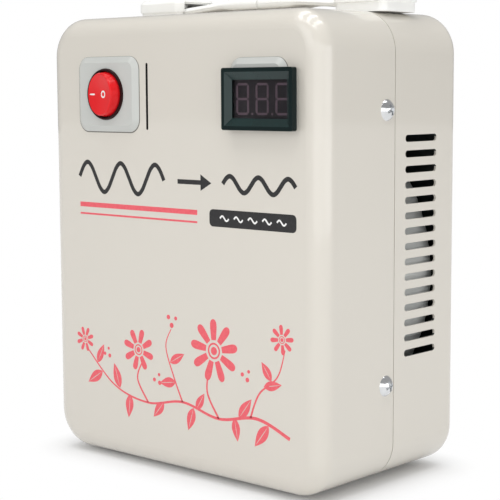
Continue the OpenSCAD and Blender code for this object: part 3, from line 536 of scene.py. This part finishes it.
def front_marks():
    """Plain signs: a tall wave, an arrow and a low wave, with rules and a tag below."""
    black = bmesh.new()
    for left, right, height in SIGN_WAVES:
        stroke(black, wave_points(left, right, SIGN_V, height, SIGN_CYCLES, 20), SIGN_W)
    stroke(black, [(SHAFT_BACK, SIGN_V), (SHAFT_TIP, SIGN_V)], SIGN_W)
    strip(black, [(HEAD_BACK, SIGN_V + HEAD_HALF), (HEAD_TIP, SIGN_V)],
          [(HEAD_BACK, SIGN_V - HEAD_HALF), (HEAD_TIP, SIGN_V - HEAD_BLUNT)],
          on_front, LAYERS[1], INK_BACK)
    fan(black, rounded_outline(TAG_X, TAG_V, TAG_W, TAG_H, TAG_R, steps=5), on_front, LAYERS[0], INK_BACK)
    piece("print_signs", black, BLACK_INK, "case")
    coral = bmesh.new()
    for v, width in RULES:
        stroke(coral, [(RULE_LEFT, v), (RULE_RIGHT, v)], width)
    piece("print_rules", coral, CORAL_INK, "case")
    white = bmesh.new()
    for x in TAG_WAVES:
        points = wave_points(x - TAG_WAVE_HALF, x + TAG_WAVE_HALF, TAG_V, TAG_WAVE_H, 1, 8)
        stroke(white, points, TAG_WAVE_W, LAYERS[2])
    piece("print_tag_signs", white, WHITE_INK, "case")


# Painted shadow round the plates, painted shade in the slit, and the bezel's slopes
# The plates' painted shadow is thin on the left and above, and wide on the right and below
PLATE_SHADOW_THIN, PLATE_SHADOW_WIDE, PLATE_SHADOW_TUCK = 0.08, 0.55, 0.02
# The slit's dark band is painted shade, not a part
SLIT_SHADE_GAP, SLIT_SHADE_T = 0.02, 0.12
SLIT_SHADE_FRONT, SLIT_SHADE_BACK = -0.04, -1.16
WELL_FRONT = 0.04


def plate_shadow_rows(x, y, width, height):
    """Two rows of points for the painted shadow line at the foot of a plate, wide on the right and below.
    """
    shift = (PLATE_SHADOW_WIDE - PLATE_SHADOW_THIN) / 2
    grow = PLATE_SHADOW_WIDE + PLATE_SHADOW_THIN
    inner = rounded_outline(x, y, width - 2 * PLATE_SHADOW_TUCK, height - 2 * PLATE_SHADOW_TUCK, PLATE_R)
    outer = rounded_outline(x + shift, y - shift, width + grow, height + grow, PLATE_R + grow / 2)
    return outer, inner


def painted_plate_shadows():
    """Painted shadow lines round the switch plate and round the part of the meter plate above its bezel.
    """
    bm = bmesh.new()
    outer, inner = plate_shadow_rows(SWITCH_X, SWITCH_Z - CASE_Z, SWITCH_PLATE_W, SWITCH_PLATE_H)
    strip(bm, outer, inner, on_front, LAYERS[0], INK_BACK, closed=True)
    outer, inner = plate_shadow_rows(METER_X - METER_PLATE_LEFT, METER_Z - CASE_Z + METER_PLATE_UP,
                              METER_PLATE_W, METER_PLATE_H)
    half = len(outer) // 2
    strip(bm, outer[:half], inner[:half], on_front, LAYERS[0], INK_BACK)
    piece("painted_plate_shadows", bm, PLATE_SHADOW_INK, "case")


def slot_outline(inset):
    """Outline of the slit, set in from its wall."""
    r = SLIT_W / 2 - inset
    straight = (SLIT_H - SLIT_W) / 2
    steps = 8
    out = []
    for way in (1, -1):
        for k in range(steps + 1):
            a = math.pi * k / steps
            out.append((SLIT_X + way * r * math.cos(a), SLIT_V + way * (straight + r * math.sin(a))))
    return out


def slit_painted_shade():
    """Dark band on the wall of the slit: painted shade for the dark inside of the slit."""
    bm = bmesh.new()
    strip(bm, slot_outline(SLIT_SHADE_GAP), slot_outline(SLIT_SHADE_GAP + SLIT_SHADE_T), on_front,
          SLIT_SHADE_FRONT, SLIT_SHADE_BACK, closed=True)
    piece("slit_painted_shade", bm, LOOKS["black_rubber"], "case")


def on_meter(u, v, depth, w):
    """u across and v up from the middle of the meter, depth and w out of the front face, in mm."""
    return Vector((METER_X + u, FRONT_Y - depth - w, METER_Z + v)) * MM


def bezel_well():
    """Grained skin on the four slopes between the bezel's rim and its window, coloured lighter than the
    rim as painted light.
    """
    corners = ((-0.5, -0.5), (0.5, -0.5), (0.5, 0.5), (-0.5, 0.5))
    rim_w, rim_h = BEZEL_W - 2 * BEZEL_RIM, BEZEL_H - 2 * BEZEL_RIM
    outer = [(u * rim_w, v * rim_h, PLATE_T + BEZEL_T) for u, v in corners]
    inner = [(u * WINDOW_W, v * WINDOW_H, PLATE_T + WINDOW_SEAT) for u, v in corners]
    bm = bmesh.new()
    strip(bm, outer, inner, on_meter, WELL_FRONT, INK_BACK, closed=True)
    piece("bezel_well", bm, BEZEL_GRAIN_AND_LIGHT, "case")


garland()
front_marks()
painted_plate_shadows()
slit_painted_shade()
bezel_well()


# Marks on the rocker
PIVOT_OUT = -0.8
ROCKER_TILT = math.radians(10)
ROCKER_H = 6.8
DISH = 0.7
DISH_RIM = 10.6
DISH_R = (DISH_RIM ** 2 + DISH ** 2) / (2 * DISH)
MARK_FRONT, MARK_BACK = 0.06, -0.03
DASH_X, DASH_HALF = -7.2, 0.42
RING_X = 3.1


def on_rocker(u, v, w):
    """u across and v up the dished face, w out of it, in mm."""
    depth = ROCKER_H - DISH + DISH_R - math.sqrt(DISH_R ** 2 - u * u - v * v) + w
    across = u * math.cos(ROCKER_TILT) - depth * math.sin(ROCKER_TILT)
    out = u * math.sin(ROCKER_TILT) + depth * math.cos(ROCKER_TILT) + PIVOT_OUT
    return Vector((SWITCH_X + across, FRONT_Y - out, SWITCH_Z + v)) * MM


def rocker_marks():
    """A dash and a ring for on and off."""
    bm = bmesh.new()
    dash = [(x, max(-DASH_HALF, min(DASH_HALF, y))) for x, y in oval(DASH_X, 0, 2.2, 0.6, count=32)]
    fan(bm, dash, on_rocker, MARK_FRONT, MARK_BACK)
    strip(bm, oval(RING_X, 0, 2.2, 2.0, count=32), oval(RING_X, 0, 1.35, 1.15, count=32),
          on_rocker, MARK_FRONT, MARK_BACK, closed=True)
    piece("rocker_marks", bm, WHITE_INK, "rocker")


rocker_marks()


# Toroid: tape wound round the section, each turn lapping the one before
TOROID_HOLE_R = 22.0
TOROID_BEND = 5.0
TAPE_ROOM = 0.45
TAPE_TURNS, TURN_STEPS = 84, 5
LAP_LIFT, LAP_EDGE = 0.42, 0.02
WAVER, WAVER_ALONG, WAVER_TURN = 0.05, 7.1, 1.7
POINT_GAP = 5.0


def toroid_section(outer, inner, half):
    """Points round the section, as radius, place along the axis and the outward direction of each."""
    rounds = []
    corners = ((outer - TOROID_BEND, half - TOROID_BEND), (inner + TOROID_BEND, half - TOROID_BEND),
               (inner + TOROID_BEND, TOROID_BEND - half), (outer - TOROID_BEND, TOROID_BEND - half))
    steps = 6
    for quarter, (r, y) in enumerate(corners):
        for k in range(steps + 1):
            a = (quarter + k / steps) * math.pi / 2
            c, s = math.cos(a), math.sin(a)
            rounds.append((r + TOROID_BEND * c, y + TOROID_BEND * s, c, s))
    section = []
    for i, p in enumerate(rounds):
        q = rounds[(i + 1) % len(rounds)]
        section.append(p)
        extra = int(math.hypot(q[0] - p[0], q[1] - p[1]) // POINT_GAP)
        for k in range(1, extra):
            t = k / extra
            section.append(tuple(a + (b - a) * t for a, b in zip(p, q)))
    return section


def wrapped_toroid():
    lo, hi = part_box("transformer_tape")
    centre = (lo + hi) / 2
    outer = (hi.x - lo.x) / 2 / MM - TAPE_ROOM
    inner = TOROID_HOLE_R + TAPE_ROOM
    half = (hi.y - lo.y) / 2 / MM - TAPE_ROOM
    section = toroid_section(outer, inner, half)
    count = TAPE_TURNS * TURN_STEPS
    bm = bmesh.new()
    rings = []
    for i in range(count):
        a = 2 * math.pi * i / count
        ring = []
        for j, (r, y, out_r, out_y) in enumerate(section):
            lap = (i / TURN_STEPS + j / len(section)) % 1.0
            lift = LAP_LIFT * (1 - lap) if lap > LAP_EDGE else 0.0
            lift += WAVER * math.sin(WAVER_ALONG * j + WAVER_TURN * (i // TURN_STEPS))
            rr, yy = r + out_r * lift, y + out_y * lift
            ring.append(bm.verts.new(centre + Vector((rr * math.cos(a), yy, rr * math.sin(a))) * MM))
        rings.append(ring)
    skin(bm, rings, closed=True)
    obj = piece("wrapped_toroid", bm, LOOKS["wrap_film"], "case")
    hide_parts("transformer_tape")


wrapped_toroid()


# Handle strap in two halves, each bending where the grip meets a strap end
HANDLE_DEPTH = 75.5
HANDLE_Y = FRONT_Y + HANDLE_DEPTH
GRIP_W, GRIP_T = 24.0, 6.0
LINK_W, LINK_T = 22.0, 3.6
LINK_LEN = 39.0
BEAD_RISE, GRIP_RISE = 4.4, 3.2
PIVOT_RISE = BEAD_RISE + GRIP_RISE
LINK_ANGLE = math.asin(GRIP_RISE / LINK_LEN)
CAP_SCREW_IN, BEAD_IN = 5.0, 6.6
BEAD_X = CASE_HALF_W - CORNER_R - CAP_SCREW_IN - BEAD_IN
GRIP_HALF = BEAD_X - LINK_LEN * math.cos(LINK_ANGLE)
STATION_GAP = 1.5
BEAD_ROOM = 1.0
TAPER_BEFORE, TAPER_LEN = 9.0, 14.0
BORDER_RISE, BORDER_W, BORDER_IN = 0.45, 0.8, 0.95
GROOVE_DEPTH, GROOVE_PITCH = 0.35, 5.0


def edge_rise(edge, r):
    """Height of a strap's rounded edge of radius r, at a distance from its side."""
    return r * math.sqrt(max(0.0, 1 - ((r - min(edge, r)) / r) ** 2))


def strap_section(width, thick):
    """Outline of the strap across its width: rounded edges and a raised border on top."""
    half, r = width / 2, thick / 2
    steps = 32
    top = []
    for i in range(steps + 1):
        y = half * math.cos(math.pi * (1 - i / steps))
        edge = half - abs(y)
        border = BORDER_RISE * math.exp(-((edge - r * BORDER_IN) / BORDER_W) ** 2)
        top.append((y, edge_rise(edge, r) - BORDER_RISE + border * min(1.0, edge / r)))
    low = [(y, -edge_rise(half - abs(y), r)) for y, _ in reversed(top[1:-1])]
    return top + low


def strap_half(side):
    """One half of the strap, on the left where side is -1, with finger grooves under the grip."""
    full = GRIP_HALF + LINK_LEN - BEAD_ROOM
    stations = [i * STATION_GAP for i in range(int(full / STATION_GAP) + 1)] + [full]
    bm = bmesh.new()
    rings = []
    for s in stations:
        t = min(1.0, max(0.0, (s - GRIP_HALF + TAPER_BEFORE) / TAPER_LEN))
        t = t * t * (3 - 2 * t)
        width = GRIP_W + (LINK_W - GRIP_W) * t
        thick = GRIP_T + (LINK_T - GRIP_T) * t
        beyond = max(0.0, s - GRIP_HALF)
        x = min(s, GRIP_HALF) + beyond * math.cos(LINK_ANGLE)
        z = PIVOT_RISE - beyond * math.sin(LINK_ANGLE)
        groove = GROOVE_DEPTH * (1 - t) * max(0.0, math.cos(2 * math.pi * s / GROOVE_PITCH)) ** 6
        ring = []
        for y, h in strap_section(width, thick):
            if h < 0:
                h += groove
            ring.append(bm.verts.new(Vector((side * x, HANDLE_Y + y, CASE_TOP + z + h)) * MM))
        rings.append(ring)
    skin(bm, rings, closed=False)
    name = "left" if side < 0 else "right"
    obj = piece(f"strap_{name}_half", bm, LOOKS["strap_plastic"], None, smooth=True)
    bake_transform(obj)
    return obj


left_half = strap_half(-1)
right_half = strap_half(1)
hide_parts("handle_grip", "handle_link_left")
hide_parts("handle_grip", "handle_link_right")


# Floor and light, in metres apart from the inset
FLOOR_HALF = 6.0
FLOOR_GREY = (0.86, 0.86, 0.86, 1)
WHITE = (1, 1, 1, 1)
SHADOW_INSET = 18.0
SHADOW_FADE = 0.04
SHADOW_GLOW = 0.05
AMBIENT = 0.40


def wired(tree, kind, sources=(), **values):
    """A new node with its values set and its first inputs fed from the sources."""
    node = tree.nodes.new(kind)
    for key, value in values.items():
        setattr(node, key, value)
    for source, socket in zip(sources, node.inputs):
        tree.links.new(source, socket)
    return node


def seen_directly(tree):
    """1 for what the camera sees straight, in a reflection or through a window."""
    path = wired(tree, "ShaderNodeLightPath")
    total = path.outputs["Is Camera Ray"]
    for name in ("Is Glossy Ray", "Is Transmission Ray"):
        total = wired(tree, "ShaderNodeMath", (total, path.outputs[name]), operation="MAXIMUM").outputs[0]
    return total


def away_from_case(tree):
    """Distance of a spot on the floor from the dark core under the case."""
    spot = wired(tree, "ShaderNodeTexCoord").outputs["Object"]
    core_x = (CASE_HALF_W - SHADOW_INSET) * MM
    core_y = ((REAR_Y - FRONT_Y) / 2 - SHADOW_INSET) * MM
    steps = (("SUBTRACT", (0, CASE_MID[1] * MM, 0)), ("ABSOLUTE", None),
             ("SUBTRACT", (core_x, core_y, 0)), ("MAXIMUM", (0, 0, 0)))
    for operation, value in steps:
        step = wired(tree, "ShaderNodeVectorMath", (spot,), operation=operation)
        if value:
            step.inputs[1].default_value = value
        spot = step.outputs[0]
    return wired(tree, "ShaderNodeVectorMath", (spot,), operation="LENGTH").outputs["Value"]


def stage_material():
    """Pale floor that fades to white away from the part and keeps a soft shadow near it."""
    mat = bpy.data.materials.new("pale_floor")
    mat.use_nodes = True
    tree = mat.node_tree
    tree.nodes.clear()
    diffuse = wired(tree, "ShaderNodeBsdfDiffuse")
    diffuse.inputs["Color"].default_value = FLOOR_GREY
    glow = wired(tree, "ShaderNodeEmission")
    glow.inputs["Color"].default_value = WHITE
    fade = wired(tree, "ShaderNodeMapRange", (away_from_case(tree),), interpolation_type="SMOOTHSTEP")
    fade.inputs["From Min"].default_value = 0.0
    fade.inputs["From Max"].default_value = SHADOW_FADE
    fade.inputs["To Min"].default_value = SHADOW_GLOW
    fade.inputs["To Max"].default_value = 1.0
    shares = (seen_directly(tree), fade.outputs["Result"])
    share = wired(tree, "ShaderNodeMath", shares, operation="MULTIPLY")
    mix = wired(tree, "ShaderNodeMixShader", (share.outputs[0], diffuse.outputs[0], glow.outputs[0]))
    wired(tree, "ShaderNodeOutputMaterial", (mix.outputs[0],))
    return mat


def floor():
    bm = bmesh.new()
    bmesh.ops.create_grid(bm, x_segments=8, y_segments=8, size=FLOOR_HALF)
    mesh = bpy.data.meshes.new("floor")
    bm.to_mesh(mesh)
    bm.free()
    mesh.materials.append(stage_material())
    obj = bpy.data.objects.new("floor", mesh)
    bpy.context.scene.collection.objects.link(obj)


def world():
    """White behind the part, and a dimmer white as light on it."""
    scene = bpy.context.scene
    scene.world = bpy.data.worlds.new("studio")
    scene.world.use_nodes = True
    tree = scene.world.node_tree
    back = tree.nodes["Background"]
    back.inputs["Color"].default_value = WHITE
    path = wired(tree, "ShaderNodeLightPath")
    pick = wired(tree, "ShaderNodeMapRange", (path.outputs["Is Camera Ray"],))
    pick.inputs["To Min"].default_value = AMBIENT
    pick.inputs["To Max"].default_value = 1.0
    tree.links.new(pick.outputs["Result"], back.inputs["Strength"])


def area(name, place, target, size, watts):
    """Rectangular lamp that points at a target."""
    data = bpy.data.lights.new(name, "AREA")
    data.shape = "RECTANGLE"
    data.size, data.size_y = size
    data.energy = watts
    obj = bpy.data.objects.new(name, data)
    obj.location = place
    aim = Vector(target) - Vector(place)
    obj.rotation_euler = aim.to_track_quat("-Z", "Y").to_euler()
    bpy.context.scene.collection.objects.link(obj)


CAMERA_ANGLES = (42.043, 6.462, -0.290)
CAMERA_PLACE = (523.20, FRONT_Y - 522.30, 204.05)
CAMERA_LENS, CAMERA_SENSOR = 102.71, 36


def camera():
    """Camera turned left by yaw, down by pitch and then by roll about its own axis."""
    yaw, pitch, roll = (math.radians(a) for a in CAMERA_ANGLES)
    ahead = Vector((-math.sin(yaw) * math.cos(pitch), math.cos(yaw) * math.cos(pitch), -math.sin(pitch)))
    level = Vector((math.cos(yaw), math.sin(yaw), 0))
    upright = level.cross(ahead)
    right = level * math.cos(roll) + upright * math.sin(roll)
    up = upright * math.cos(roll) - level * math.sin(roll)
    data = bpy.data.cameras.new("camera")
    data.sensor_width = CAMERA_SENSOR
    data.lens = CAMERA_LENS
    obj = bpy.data.objects.new("camera", data)
    turn = Matrix((right, up, -ahead)).transposed().to_4x4()
    obj.matrix_world = Matrix.Translation(Vector(CAMERA_PLACE) * MM) @ turn
    bpy.context.scene.collection.objects.link(obj)
    bpy.context.scene.camera = obj


floor()
world()
area("key", (-0.15, -1.35, 0.70), (0, 0, 0.13), (0.9, 0.9), 3.4)
area("side", (1.35, 0.05, 0.25), (0, 0, 0.10), (1.0, 0.5), 2.7)
area("fill", (0.85, -0.95, 0.25), (0.05, 0, 0.11), (1.4, 0.8), 4.0)
area("edge", (0.10, -0.90, 1.50), (0, 0, 0.20), (1.8, 0.1), 2.2)
for number, x in enumerate((-0.35, 0.10, 0.55)):
    area(f"top_{number}", (x, -0.1, 1.5), (x, 0, 0.2), (0.2, 1.4), 4.4)
camera()
bpy.context.scene.view_settings.view_transform = "Standard"
